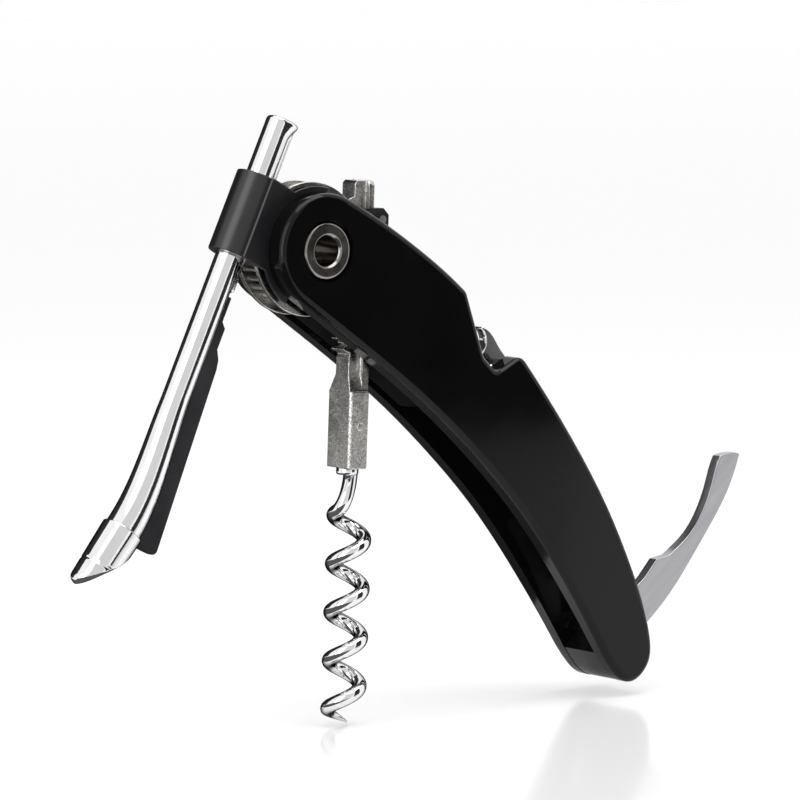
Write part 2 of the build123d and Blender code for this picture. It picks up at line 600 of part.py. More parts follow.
def tail_liner_sketch(room):
    """Blade-shaped plate that starts round the knife's pin and narrows towards the pivot."""
    plate = make_face(Polyline((KNIFE_U, KNIFE_V), *from_knife_pin(TAIL_LINER), close=True))
    plate += Pos(KNIFE_U, KNIFE_V) * Circle(TAIL_LINER_R)
    return offset(plate, room, kind=Kind.INTERSECTION) if room else plate


def make_tail_liner(side):
    """Steel plate let into the scale beside the knife."""
    plate = slab(tail_liner_sketch(0), SCALE_Y, SCALE_Y + LINER_T)
    plate -= pin(KNIFE_U, KNIFE_V, KNIFE_PIN_R + SEAT, SCALE_Y, SCALE_Y + LINER_T)
    return HANDLE * (plate if side > 0 else mirror(plate, Plane.XZ))


# ---------------------------------------------------------------- arm: collar, rod, foot and fin

def make_collar():
    """Ring for the rod, with a web that opens into two cheeks beside the pinion."""
    length = COLLAR_BOTTOM - COLLAR_TOP
    along = Pos((COLLAR_TOP + COLLAR_BOTTOM) / 2, 0, -ROD_OFFSET) * Rot(0, 90, 0)
    ring = along * Cylinder(COLLAR_R, length)
    cheek_y = CHEEK_Y + CHEEK_T
    # The plate hugs the pivot on the far side and meets the ring along its whole length
    edge_t = CHEEK_R * cos(radians(CHEEK_EDGE_ANGLE))
    edge_p = -CHEEK_R * sin(radians(CHEEK_EDGE_ANGLE))
    outline = Circle(CHEEK_R) + make_face(Polyline(
        (COLLAR_TOP, -ROD_OFFSET), (COLLAR_BOTTOM, -ROD_OFFSET),
        (edge_t, edge_p), (0, 0), (-edge_t, edge_p), close=True))
    plate = slab(outline, -cheek_y, cheek_y)
    plate &= box(-2 * CHEEK_R, 2 * CHEEK_R, -cheek_y, cheek_y, -ROD_OFFSET, CHEEK_CUT)
    plate += slab(Circle(CHEEK_EYE_R), -cheek_y, cheek_y)
    solid = plate + ring
    solid -= slab(Circle(SHROUD_R + POCKET_ROOM), -CHEEK_Y, CHEEK_Y)
    bore = along * Cylinder(ROD_R + RUN, 2 * length)
    keyway = box(2 * COLLAR_TOP, 2 * COLLAR_BOTTOM, -RIB_HALF - RUN, RIB_HALF + RUN,
                 -ROD_OFFSET, -ROD_OFFSET + ROD_R + RIB_HEIGHT + KEYWAY_ROOM)
    solid -= [bore, keyway, slab(Circle(HUB_R + RUN), -cheek_y, cheek_y)]
    return ARM * solid


def rod_axis():
    """Straight through the collar, then bent outwards to the foot."""
    foot = foot_frame(0)
    return Spline((ROD_BEND_START, 0, -ROD_OFFSET), foot.origin, tangents=((1, 0, 0), foot.z_dir))


def foot_frame(distance):
    """Plane square to the foot's axis, at a distance below its start."""
    lean = Vector(1, 0, 0).rotate(Axis.Y, FOOT_SLOPE)
    start = Vector(FOOT_START, 0, -ROD_OFFSET - FOOT_DROP)
    return Plane(start + lean * distance, x_dir=(0, 1, 0), z_dir=lean)


def fin_outline(room):
    """Fin with its root along the bottom of the slot; the room makes the slot for it."""
    foot = foot_frame(0).origin
    middle = rod_axis() @ 0.5
    edge = [(FIN_START + t, p - ROD_OFFSET) for t, p in FIN_EDGE]
    root = [(foot.X, foot.Z + FIN_SLOT), (middle.X, middle.Z + FIN_SLOT)]
    face = make_face(Polyline(
        (FIN_START, FIN_SLOT - ROD_OFFSET), *edge, (FIN_END, FIN_END_HEIGHT - ROD_OFFSET),
        (FIN_END, root[0][1]), *root, close=True))
    corner = face.vertices().sort_by(lambda v: v.X + v.Y)[-1]
    face = fillet(corner, FIN_CORNER)
    return offset(face, room, kind=Kind.INTERSECTION) if room else face


def make_rod():
    straight = Pos((ROD_TOP + ROD_BEND_START) / 2, 0, -ROD_OFFSET) * Rot(0, 90, 0) * Cylinder(
        ROD_R, ROD_BEND_START - ROD_TOP)
    top_edge = straight.edges().filter_by(GeomType.CIRCLE).sort_by(Axis.X)[0]
    straight = fillet(top_edge, ROD_TOP_ROUND)
    axis = rod_axis()
    bend = sweep([Plane(axis @ 0, z_dir=axis % 0) * Circle(ROD_R),
                  Plane(axis @ 1, z_dir=axis % 1) * Circle(ROD_END_R)], path=axis, multisection=True)
    tenon = foot_frame(TENON_LENGTH / 2) * Cylinder(TENON_R, TENON_LENGTH)
    rib_top = -ROD_OFFSET + ROD_R + RIB_HEIGHT
    rib = box(ROD_TOP + ROD_TOP_ROUND, RIB_END, -RIB_HALF, RIB_HALF, -ROD_OFFSET, rib_top)
    rib = fillet([e for e in rib.edges() if e.center().Z > -ROD_OFFSET + ROD_R], RIB_ROUND)
    lug = box(ROD_TOP + ROD_TOP_ROUND, ROD_TOP + ROD_TOP_ROUND + RIB_STOP_LENGTH, -RIB_HALF, RIB_HALF,
              -ROD_OFFSET, rib_top + RIB_STOP_HEIGHT)
    lug = fillet([e for e in lug.edges() if e.center().Z > rib_top], RIB_ROUND)
    solid = straight + bend + tenon + rib + lug
    solid -= slab(fin_outline(SEAT), -FIN_HALF - SEAT, FIN_HALF + SEAT)
    return ARM * solid


def make_foot():
    """Sleeve over the rod's end with a hollow nose, cut round on its inner side."""
    sleeve = foot_frame(SLEEVE_LENGTH / 2) * Cone(SLEEVE_R, SLEEVE_LOW_R, SLEEVE_LENGTH)
    nose = foot_frame(SLEEVE_LENGTH + NOSE_LENGTH / 2) * Cylinder(NOSE_R, NOSE_LENGTH)
    nose = fillet(nose.edges().filter_by(GeomType.CIRCLE).sort_by(Axis.X)[-1], NOSE_ROUND)
    solid = sleeve + nose
    solid -= foot_frame((TENON_LENGTH + SEAT) / 2) * Cylinder(TENON_R + SEAT, TENON_LENGTH + SEAT)
    low = SLEEVE_LENGTH + NOSE_LENGTH
    solid -= foot_frame(low - NOSE_HOLLOW_DEPTH / 2) * Cylinder(NOSE_HOLLOW_R, NOSE_HOLLOW_DEPTH)
    cut = foot_frame(low + RIM_CUT_BELOW).origin
    solid -= slab(Pos(cut.X, cut.Z + RIM_CUT_R - RIM_CUT_DEPTH) * Circle(RIM_CUT_R), -SLEEVE_R, SLEEVE_R)
    solid -= slab(fin_outline(SEAT), -FIN_HALF - SEAT, FIN_HALF + SEAT)
    return ARM * solid


def make_fin():
    return ARM * slab(fin_outline(0), -FIN_HALF, FIN_HALF)


PARTS = {
    "guide_block": make_guide_block,
    "guide_link_front": lambda: make_guide_link(-1),
    "guide_link_back": lambda: make_guide_link(1),
    "guide_pins": lambda: Compound(children=[
        pin(x, z, GUIDE_PIN_R, -LINK_Y - LINK_T, LINK_Y + LINK_T) for x, z in guide_pin_places()]),
    "pinion": make_pinion,
    "pinion_flange_front": lambda: make_pinion_flange(-1),
    "pinion_flange_back": lambda: make_pinion_flange(1),
    "pivot_tube": make_pivot_tube,
    "pivot_ring": make_pivot_ring,
    "front_scale": lambda: make_scale(-1),
    "back_scale": lambda: make_scale(1),
    "front_liner": lambda: make_liner(-1),
    "back_liner": lambda: make_liner(1),
    "spine_filling": make_spine,
    "front_filling": make_front_filling,
    "tail_block": make_tail_block,
    "cap_lifter": make_cap_lifter,
    "scale_pins": make_scale_pins,
    "foil_knife": make_knife,
    "knife_pin": make_knife_pin,
    "knife_spacer_front": lambda: make_knife_spacer(-1),
    "knife_spacer_back": lambda: make_knife_spacer(1),
    "tail_liner_front": lambda: make_tail_liner(-1),
    "tail_liner_back": lambda: make_tail_liner(1),
    "worm_carrier": make_carrier,
    "worm": make_worm,
    "worm_pin": lambda: pin(WORM_AXIS + SHANK_SHIFT, WORM_PIN_Z, WORM_PIN_R, -BLOCK_HALF, BLOCK_HALF),
    "rod_collar": make_collar,
    "support_rod": make_rod,
    "rod_foot": make_foot,
    "stop_fin": make_fin,
}

os.makedirs("parts", exist_ok=True)
for name, make in PARTS.items():
    export_step(make(), f"parts/{name}.step")
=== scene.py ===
import math

import bmesh
import bpy
import numpy as np
from mathutils import Matrix, Vector


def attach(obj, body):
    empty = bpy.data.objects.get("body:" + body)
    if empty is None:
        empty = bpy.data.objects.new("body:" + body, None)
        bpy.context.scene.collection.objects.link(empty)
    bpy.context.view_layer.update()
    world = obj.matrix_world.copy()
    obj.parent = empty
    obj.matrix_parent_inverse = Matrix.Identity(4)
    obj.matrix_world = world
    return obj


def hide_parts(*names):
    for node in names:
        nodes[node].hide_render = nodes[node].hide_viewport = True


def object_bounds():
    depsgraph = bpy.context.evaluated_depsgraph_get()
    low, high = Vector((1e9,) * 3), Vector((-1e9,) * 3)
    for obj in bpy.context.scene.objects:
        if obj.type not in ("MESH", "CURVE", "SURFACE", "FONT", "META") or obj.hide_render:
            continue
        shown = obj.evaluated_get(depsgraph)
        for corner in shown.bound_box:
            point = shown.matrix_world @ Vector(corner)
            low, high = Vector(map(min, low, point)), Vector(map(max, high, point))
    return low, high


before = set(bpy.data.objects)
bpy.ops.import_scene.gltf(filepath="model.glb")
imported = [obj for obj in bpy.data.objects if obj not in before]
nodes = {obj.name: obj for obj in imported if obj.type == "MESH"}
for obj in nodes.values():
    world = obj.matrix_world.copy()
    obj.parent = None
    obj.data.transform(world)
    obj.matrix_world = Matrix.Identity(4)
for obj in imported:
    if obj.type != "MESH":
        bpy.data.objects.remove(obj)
cad_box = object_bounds()
scene = bpy.context.scene
scene.view_settings.view_transform = "Standard"


# ------------------------------------------------------------------ camera
# A long lens that stands well back, so that the two scales look nearly parallel.
# It is turned round from the front scale towards the pivot end, and looks slightly down.

VIEW_TURN = math.radians(38.0)      # round the upright, from the front scale
VIEW_DROP = math.radians(6.3)
VIEW_LEAN = math.radians(2.4)       # in the plane of the tool
VIEW_DISTANCE = 1.127
AIM_RIGHT = 0.0205                  # from the pivot's middle to the middle of the view
AIM_DOWN = 0.0311
LENS = 247.5                        # in mm, on a sensor this wide
SENSOR = 36.0

level = Vector((math.sin(VIEW_TURN), math.cos(VIEW_TURN), 0.0))
forward = math.cos(VIEW_DROP) * level - math.sin(VIEW_DROP) * Vector((0, 0, 1))
right = Vector((math.cos(VIEW_TURN), -math.sin(VIEW_TURN), 0.0))
lean = Matrix.Rotation(-VIEW_LEAN, 3, "Y")
forward, right = lean @ forward, lean @ right
below = forward.cross(right)
eye = -VIEW_DISTANCE * forward + AIM_RIGHT * right + AIM_DOWN * below

camera = bpy.data.objects.new("camera", bpy.data.cameras.new("camera"))
camera.data.lens = LENS
camera.data.sensor_width = SENSOR
camera.data.clip_start = 0.01
turn = Matrix((right, -below, -forward)).transposed().to_4x4()
camera.matrix_world = Matrix.Translation(eye) @ turn
scene.collection.objects.link(camera)
scene.camera = camera


# ------------------------------------------------------------------ floor
# A white glossy sweep on which the tool stands on its worm's point and its tail. It leans
# as the camera does, and reads white to the eye and in polished metal.

FLOOR_GAP = 0.0002
FLOOR_HALF = 3.0
FLOOR_COLOUR = 0.80
FLOOR_ROUGHNESS = 0.15
FLOOR_GLOSS = 0.20
FLOOR_LIFT = 0.175                  # glow that only the eye and polished metal see
upward = lean @ Vector((0, 0, 1))


def node_points(name):
    """All corners of a CAD node's mesh as an array."""
    vertices = nodes[name].data.vertices
    points = np.empty(len(vertices) * 3)
    vertices.foreach_get("co", points)
    return points.reshape(-1, 3)


FLOOR_LEVEL = min((node_points(name) @ np.array(upward)).min() for name in nodes) - FLOOR_GAP


def add_mesh(name, points, faces, smooth=True):
    """Mesh object from an array of points and lists of corner numbers."""
    mesh = bpy.data.meshes.new(name)
    mesh.from_pydata(np.asarray(points).reshape(-1, 3).tolist(), [], faces)
    mesh.validate()
    for polygon in mesh.polygons:
        polygon.use_smooth = smooth
    piece = bpy.data.objects.new(name, mesh)
    scene.collection.objects.link(piece)
    return piece


def new_material(name):
    """Empty node material with its Principled shader."""
    material = bpy.data.materials.new(name)
    material.use_nodes = True
    tree = material.node_tree
    return material, tree, tree.nodes["Principled BSDF"]


def add_node(tree, kind, **settings):
    """Shader node with its settings and input values given by name."""
    node = tree.nodes.new(kind)
    for key, value in settings.items():
        if key in node.inputs:
            node.inputs[key].default_value = value
        else:
            setattr(node, key, value)
    return node


def seen_rays(tree):
    """Output that is 1 for camera, glossy and transmission rays, and 0 for the rays that only light."""
    path = add_node(tree, "ShaderNodeLightPath")
    seen = path.outputs["Is Camera Ray"]
    for ray in ("Is Glossy Ray", "Is Transmission Ray"):
        either = add_node(tree, "ShaderNodeMath", operation="MAXIMUM")
        tree.links.new(seen, either.inputs[0])
        tree.links.new(path.outputs[ray], either.inputs[1])
        seen = either.outputs[0]
    return seen


floor = add_mesh("floor", [lean @ Vector((x * FLOOR_HALF, y * FLOOR_HALF, FLOOR_LEVEL))
                           for x, y in ((-1, -1), (1, -1), (1, 1), (-1, 1))], [(0, 1, 2, 3)])
white_sweep, tree, shader = new_material("white sweep")
shader.inputs["Base Color"].default_value = (FLOOR_COLOUR, FLOOR_COLOUR, FLOOR_COLOUR, 1)
shader.inputs["Roughness"].default_value = FLOOR_ROUGHNESS
shader.inputs["Specular IOR Level"].default_value = FLOOR_GLOSS
shader.inputs["Emission Color"].default_value = (1, 1, 1, 1)
lift = add_node(tree, "ShaderNodeMath", operation="MULTIPLY")
lift.inputs[1].default_value = FLOOR_LIFT
tree.links.new(seen_rays(tree), lift.inputs[0])
tree.links.new(lift.outputs[0], shader.inputs["Emission Strength"])
floor.data.materials.append(white_sweep)


# ------------------------------------------------------------------ room and soft boxes
# A white room that lights the tool with a softer grey, a large soft box above it and a
# tall one on its left.

ROOM_LIGHT = 0.62
SOFT_BOXES = (                      # name, place, width, height, power in watts
    ("top box", (0.05, -0.15, 0.75), 0.7, 0.7, 4.0),
    ("left box", (-0.75, -0.25, 0.2), 0.5, 0.9, 3.0))
CENTRE = (cad_box[0] + cad_box[1]) / 2

world = bpy.data.worlds.new("white room")
world.use_nodes = True
scene.world = world
tree = world.node_tree
background = tree.nodes["Background"]
background.inputs["Color"].default_value = (1, 1, 1, 1)
brightness = add_node(tree, "ShaderNodeMapRange")
brightness.inputs["To Min"].default_value = ROOM_LIGHT
brightness.inputs["To Max"].default_value = 1.0
tree.links.new(seen_rays(tree), brightness.inputs["Value"])
tree.links.new(brightness.outputs[0], background.inputs["Strength"])


def add_softbox(name, place, aim, width, height, power):
    """Area lamp at a place, turned to its aim."""
    lamp = bpy.data.lights.new(name, "AREA")
    lamp.shape, lamp.size, lamp.size_y, lamp.energy = "RECTANGLE", width, height, power
    box = bpy.data.objects.new(name, lamp)
    way = Vector(aim) - Vector(place)
    box.matrix_world = Matrix.Translation(place) @ way.to_track_quat("-Z", "Y").to_matrix().to_4x4()
    scene.collection.objects.link(box)


for name, place, width, height, power in SOFT_BOXES:
    add_softbox(name, place, CENTRE, width, height, power)


# ------------------------------------------------------------------ cards
# Black and grey cards round the tool and on the floor, which only polished surfaces see. They
# give the chrome its long dark bands.

CARD_LIFT = 0.0005                  # of the floor cards above the floor
STANDING_CARDS = (                  # name, degrees to the camera's right, distance, width, height, tone
    ("right card", 64.0, 0.50, 0.31, 0.80, "black card"),
    ("left card", -128.0, 0.45, 0.62, 0.90, "black card"),
    ("camera card", 14.0, 0.60, 0.56, 0.90, "grey card"))
FLOOR_CARDS = (                     # name, x and y of the lower edge, width, height
    ("floor card 1", CENTRE.x, 0.03, 0.34, 0.34),
    ("floor card 2", -0.13, -0.30, 0.26, 0.33))
CARD_TONES = {                      # brightness, and height over which the lower edge fades out
    "black card": (0.03, 0.008), "grey card": (0.72, 0.0), "floor card": (0.10, 0.0)}
SHORTEST_FADE = 1e-6


def card_material(name, strength, fade):
    """Card of one brightness that fades out towards its lower edge and isn't there from behind."""
    material, tree, shader = new_material(name)
    shader.inputs["Base Color"].default_value = (0, 0, 0, 1)
    shader.inputs["Roughness"].default_value = 1.0
    shader.inputs["Specular IOR Level"].default_value = 0.0
    shader.inputs["Emission Color"].default_value = (1, 1, 1, 1)
    shader.inputs["Emission Strength"].default_value = strength
    place = add_node(tree, "ShaderNodeTexCoord")
    split = add_node(tree, "ShaderNodeSeparateXYZ")
    tree.links.new(place.outputs["Object"], split.inputs[0])
    ramp = add_node(tree, "ShaderNodeMapRange", interpolation_type="SMOOTHSTEP")
    ramp.inputs["From Max"].default_value = max(fade, SHORTEST_FADE)
    tree.links.new(split.outputs["Y"], ramp.inputs["Value"])
    side = add_node(tree, "ShaderNodeNewGeometry")
    front = add_node(tree, "ShaderNodeMath", operation="SUBTRACT")
    front.inputs[0].default_value = 1.0
    tree.links.new(side.outputs["Backfacing"], front.inputs[1])
    alpha = add_node(tree, "ShaderNodeMath", operation="MULTIPLY")
    tree.links.new(ramp.outputs[0], alpha.inputs[0])
    tree.links.new(front.outputs[0], alpha.inputs[1])
    tree.links.new(alpha.outputs[0], shader.inputs["Alpha"])
    return material


def add_card(name, low_middle, facing, width, height, finish):
    """Card that only polished surfaces see; it stands on the middle of its lower edge."""
    corners = [(-width / 2, 0, 0), (width / 2, 0, 0), (width / 2, height, 0), (-width / 2, height, 0)]
    card = add_mesh(name, corners, [(0, 1, 2, 3)])
    side = Vector((0, 0, 1)) if abs(facing[2]) < 0.9 else Vector((0, 1, 0))
    normal = Vector(facing).normalized()
    across = side.cross(normal).normalized()
    turn = Matrix((across, normal.cross(across), normal)).transposed().to_4x4()
    card.matrix_world = Matrix.Translation(low_middle) @ turn
    card.data.materials.append(finish)
    card.visible_camera = card.visible_diffuse = card.visible_shadow = card.visible_transmission = False


def round_about(degrees, distance):
    """Place on the floor at an angle to the right of the camera, as seen from the tool."""
    toward = Matrix.Rotation(math.radians(degrees), 3, "Z") @ -level
    return Vector((CENTRE.x, CENTRE.y, FLOOR_LEVEL)) + distance * toward


cards = {name: card_material(name, *tone) for name, tone in CARD_TONES.items()}
for name, angle, distance, width, height, tone in STANDING_CARDS:
    low_middle = round_about(angle, distance)
    facing = Vector((CENTRE.x, CENTRE.y, FLOOR_LEVEL)) - low_middle
    add_card(name, low_middle, facing, width, height, cards[tone])
for name, x, y, width, height in FLOOR_CARDS:
    low_middle = lean @ Vector((x, y, FLOOR_LEVEL + CARD_LIFT))
    add_card(name, low_middle, upward, width, height, cards["floor card"])


# ------------------------------------------------------------------ scales
# Two long scales of black moulded plastic, polished to a high gloss. Liners, pins and the
# hollow rivet hold them together. Handling leaves a faint uneven haze on them.

def give(names, material):
    """Puts one finish on the CAD nodes of these names."""
    for name in names:
        slots = nodes[name].material_slots
        for slot in slots:
            slot.material = material
        if not slots:
            nodes[name].data.materials.append(material)


def make_grain():
    """Group: cloudy mask and fine height in the object's own place, drawn out by Stretch."""
    group = bpy.data.node_groups.new("grain", "ShaderNodeTree")
    for socket, way, kind in (("Scale", "INPUT", "Float"), ("Fine Scale", "INPUT", "Float"),
                              ("Stretch", "INPUT", "Vector"), ("Turn", "INPUT", "Vector"),
                              ("Mask", "OUTPUT", "Float"), ("Height", "OUTPUT", "Float")):
        group.interface.new_socket(socket, in_out=way, socket_type=f"NodeSocket{kind}")
    given = add_node(group, "NodeGroupInput")
    result = add_node(group, "NodeGroupOutput")
    place = add_node(group, "ShaderNodeTexCoord")
    turned = add_node(group, "ShaderNodeVectorRotate", rotation_type="EULER_XYZ")
    group.links.new(place.outputs["Object"], turned.inputs["Vector"])
    group.links.new(given.outputs["Turn"], turned.inputs["Rotation"])
    drawn = add_node(group, "ShaderNodeVectorMath", operation="MULTIPLY")
    group.links.new(turned.outputs["Vector"], drawn.inputs[0])
    group.links.new(given.outputs["Stretch"], drawn.inputs[1])
    cloud = add_node(group, "ShaderNodeTexNoise", Detail=3.0, Roughness=0.55)
    fine = add_node(group, "ShaderNodeTexNoise", Detail=2.0, Roughness=0.6)
    for noise, scale in ((cloud, "Scale"), (fine, "Fine Scale")):
        group.links.new(drawn.outputs["Vector"], noise.inputs["Vector"])
        group.links.new(given.outputs[scale], noise.inputs["Scale"])
    spread = add_node(group, "ShaderNodeMapRange")
    spread.inputs["From Min"].default_value = 0.3
    spread.inputs["From Max"].default_value = 0.7
    group.links.new(cloud.outputs[0], spread.inputs["Value"])
    group.links.new(spread.outputs[0], result.inputs["Mask"])
    group.links.new(fine.outputs[0], result.inputs["Height"])
    return group


GRAIN = make_grain()


def place_group(tree, group, **values):
    """Group node in a material, with its inputs given by name; an underscore stands for a space."""
    node = tree.nodes.new("ShaderNodeGroup")
    node.node_tree = group
    for key, value in values.items():
        node.inputs[key.replace("_", " ")].default_value = value
    return node


def surface(name, dark, light, roughness, scale, fine_scale, bump, metallic=0.0, specular=0.5,
            stretch=(1, 1, 1), turn=(0, 0, 0), anisotropic=0.0):
    """Finish whose colour and roughness drift between two values, with a fine bump of this
    strength and height in metres."""
    material, tree, shader = new_material(name)
    shader.inputs["Metallic"].default_value = metallic
    shader.inputs["Specular IOR Level"].default_value = specular
    shader.inputs["Anisotropic"].default_value = anisotropic
    grain = place_group(tree, GRAIN, Scale=scale, Fine_Scale=fine_scale, Stretch=stretch, Turn=turn)
    colour = add_node(tree, "ShaderNodeMix", data_type="RGBA")
    colour.inputs[6].default_value = (*dark, 1)
    colour.inputs[7].default_value = (*light, 1)
    tree.links.new(grain.outputs["Mask"], colour.inputs[0])
    tree.links.new(colour.outputs[2], shader.inputs["Base Color"])
    rough = add_node(tree, "ShaderNodeMapRange")
    rough.inputs["To Min"].default_value, rough.inputs["To Max"].default_value = roughness
    tree.links.new(grain.outputs["Mask"], rough.inputs["Value"])
    tree.links.new(rough.outputs[0], shader.inputs["Roughness"])
    relief = add_node(tree, "ShaderNodeBump", Strength=bump[0], Distance=bump[1])
    tree.links.new(grain.outputs["Height"], relief.inputs["Height"])
    tree.links.new(relief.outputs["Normal"], shader.inputs["Normal"])
    return material


give(["front_scale", "back_scale"], surface(
    "polished black plastic", (0.0030, 0.0027, 0.0031), (0.0042, 0.0038, 0.0044), (0.07, 0.12),
    scale=60.0, fine_scale=500.0, bump=(0.04, 0.00002), specular=0.22))


# ------------------------------------------------------------------ liners and fillings
# Black pieces between the scales: painted steel liners let into the head, and moulded
# fillings that close the spine and the tail. They are matt, so the channel stays dark.

give(["front_liner", "back_liner"], surface(
    "black painted steel", (0.014, 0.014, 0.015), (0.020, 0.020, 0.021), (0.38, 0.50),
    scale=150.0, fine_scale=2500.0, bump=(0.10, 0.00003), specular=0.3))
give(["spine_filling", "front_filling", "tail_block"], surface(
    "matt black plastic", (0.004, 0.004, 0.0045), (0.008, 0.008, 0.009), (0.22, 0.34),
    scale=180.0, fine_scale=2500.0, bump=(0.10, 0.00003), specular=0.3))


# ------------------------------------------------------------------ pivot
# Hollow steel rivet through the head, turned on a lathe, with a flat flange sunk in the
# front scale and a ring on its riveted end. Its rim and its chamfered mouth are bright.

MERGE = 1e-6                        # corners nearer than this are one
FLAT = math.radians(0.4)            # faces that turn less than this are one
SHARP = math.radians(32)            # edges that turn more than this are rounded
PIVOT_EDGE = 0.00012


def finish_edges(body, names, width):
    """Stands in for CAD nodes: a copy of each with its corners merged, its flat faces joined and
    its sharp edges rounded by a bevel of this width in metres."""
    for name in names:
        mesh = nodes[name].data.copy()
        shell = bmesh.new()
        shell.from_mesh(mesh)
        bmesh.ops.remove_doubles(shell, verts=shell.verts, dist=MERGE)
        bmesh.ops.dissolve_limit(shell, angle_limit=FLAT, verts=shell.verts, edges=shell.edges)
        for face in shell.faces:
            face.smooth = True
        shell.to_mesh(mesh)
        shell.free()
        piece = bpy.data.objects.new(f"{name}_finished", mesh)
        scene.collection.objects.link(piece)
        bevel = piece.modifiers.new("round edges", "BEVEL")
        bevel.width, bevel.segments, bevel.limit_method, bevel.angle_limit = width, 2, "ANGLE", SHARP
        bevel.use_clamp_overlap = False
        even = piece.modifiers.new("flat faces stay flat", "WEIGHTED_NORMAL")
        even.weight = 100
        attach(piece, body)
        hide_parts(name)


give(["pivot_tube", "pivot_ring"], surface(
    "turned steel", (0.24, 0.225, 0.21), (0.34, 0.32, 0.30), (0.14, 0.22),
    scale=260.0, fine_scale=3200.0, bump=(0.12, 0.00002), metallic=1.0))
finish_edges("handle", ["pivot_tube", "pivot_ring"], PIVOT_EDGE)


# ------------------------------------------------------------------ pinion
# Toothed wheel with a flange on each side, cast in zinc and nickel plated. The flanges'
# rims show as bright rings round the head of the handle.

TOOTH_ROOT = 0.0103                 # from the axis
TOOTH_TIP = 0.0118
# darkest share of the painted shade at the roots of the teeth
PAINTED_ROOT_SHADE = 0.03
TOOTH_EDGE = 0.00008
FLANGE_EDGE = 0.00015
PIT_SOFTNESS = 0.12


def shade_colour(material, share):
    """Multiplies a finish's colour by a share."""
    tree = material.node_tree
    colour = tree.nodes["Principled BSDF"].inputs["Base Color"]
    product = add_node(tree, "ShaderNodeMix", data_type="RGBA", blend_type="MULTIPLY")
    product.inputs[0].default_value = 1.0
    tree.links.new(colour.links[0].from_socket, product.inputs[6])
    tree.links.new(share, product.inputs[7])
    tree.links.new(product.outputs[2], colour)


def add_pits(material, scale, start, depth):
    """Small dark pits of a casting: the colour loses this depth where the fine height is under the
    start, and nothing a little above it."""
    tree = material.node_tree
    spots = place_group(tree, GRAIN, Scale=scale, Fine_Scale=scale, Stretch=(1, 1, 1), Turn=(0, 0, 0))
    share = add_node(tree, "ShaderNodeMapRange")
    share.inputs["From Min"].default_value = start
    share.inputs["From Max"].default_value = start + PIT_SOFTNESS
    share.inputs["To Min"].default_value = 1.0 - depth
    share.inputs["To Max"].default_value = 1.0
    tree.links.new(spots.outputs["Height"], share.inputs["Value"])
    shade_colour(material, share.outputs[0])


def paint_root_shade(material):
    """Painted shade in the gaps of the teeth: the colour is multiplied by a share that grows evenly with the
    distance from the axis, from the root to the tip."""
    tree = material.node_tree
    place = add_node(tree, "ShaderNodeTexCoord")
    flat = add_node(tree, "ShaderNodeVectorMath", operation="MULTIPLY")
    flat.inputs[1].default_value = (1, 0, 1)
    tree.links.new(place.outputs["Object"], flat.inputs[0])
    distance = add_node(tree, "ShaderNodeVectorMath", operation="LENGTH")
    tree.links.new(flat.outputs["Vector"], distance.inputs[0])
    share = add_node(tree, "ShaderNodeMapRange")
    for socket, value in zip(("From Min", "From Max", "To Min"), (TOOTH_ROOT, TOOTH_TIP, PAINTED_ROOT_SHADE)):
        share.inputs[socket].default_value = value
    tree.links.new(distance.outputs["Value"], share.inputs["Value"])
    shade_colour(material, share.outputs[0])


plated_casting = surface(
    "plated casting", (0.68, 0.66, 0.63), (0.86, 0.84, 0.81), (0.14, 0.24),
    scale=240.0, fine_scale=3200.0, bump=(0.45, 0.00004), metallic=1.0)
add_pits(plated_casting, 4600.0, 0.40, 0.5)
give(["pinion_flange_front", "pinion_flange_back"], plated_casting)
# The teeth have the same nickel plating as the flanges. Their colour is painted lighter to stand for light
# on them, where they sit in shade between the flanges, and their roots get painted shade.
teeth_painted_light_and_shade = surface(
    "plated teeth with painted light and shade", (0.75, 0.73, 0.70), (0.90, 0.88, 0.85), (0.16, 0.26),
    scale=240.0, fine_scale=3200.0, bump=(0.25, 0.00003), metallic=1.0)
paint_root_shade(teeth_painted_light_and_shade)
give(["pinion"], teeth_painted_light_and_shade)
finish_edges("handle", ["pinion"], TOOTH_EDGE)
finish_edges("handle", ["pinion_flange_front", "pinion_flange_back"], FLANGE_EDGE)


# ------------------------------------------------------------------ guide
# Small steel block with two links and pins, which keeps the rack against the pinion.
# Block and links are blackened, the riveted pins are bare.

GUIDE_EDGE = 0.00018

give(["guide_block", "guide_link_front", "guide_link_back"], surface(
    "blackened steel", (0.020, 0.020, 0.022), (0.045, 0.045, 0.047), (0.22, 0.34),
    scale=220.0, fine_scale=2600.0, bump=(0.14, 0.00003), metallic=0.6))
finish_edges("guide", ["guide_block"], GUIDE_EDGE)


# ------------------------------------------------------------------ carrier
# Block and T-shaped rack bar, cast in one piece and nickel plated. The skin of the casting
# is mottled and pitted, and its edges are rounded. A bright pin holds the worm in it.

CARRIER_EDGE = 0.00018

give(["worm_pin"], surface(
    "bright pin", (0.90, 0.89, 0.87), (0.96, 0.95, 0.93), (0.10, 0.16),
    scale=200.0, fine_scale=3000.0, bump=(0.10, 0.00002), metallic=1.0))
mottled_nickel = surface(
    "mottled nickel", (0.58, 0.56, 0.54), (0.80, 0.78, 0.75), (0.20, 0.30),
    scale=300.0, fine_scale=4200.0, bump=(0.50, 0.00005), metallic=1.0)
add_pits(mottled_nickel, 4600.0, 0.42, 0.60)
give(["worm_carrier"], mottled_nickel)
finish_edges("carrier", ["worm_carrier", "worm_pin"], CARRIER_EDGE)


# ------------------------------------------------------------------ worm
# Steel wire wound to a coil and ground to a point, then polished and chrome plated. Its thick
# upper end is pressed and pinned in the carrier's block.

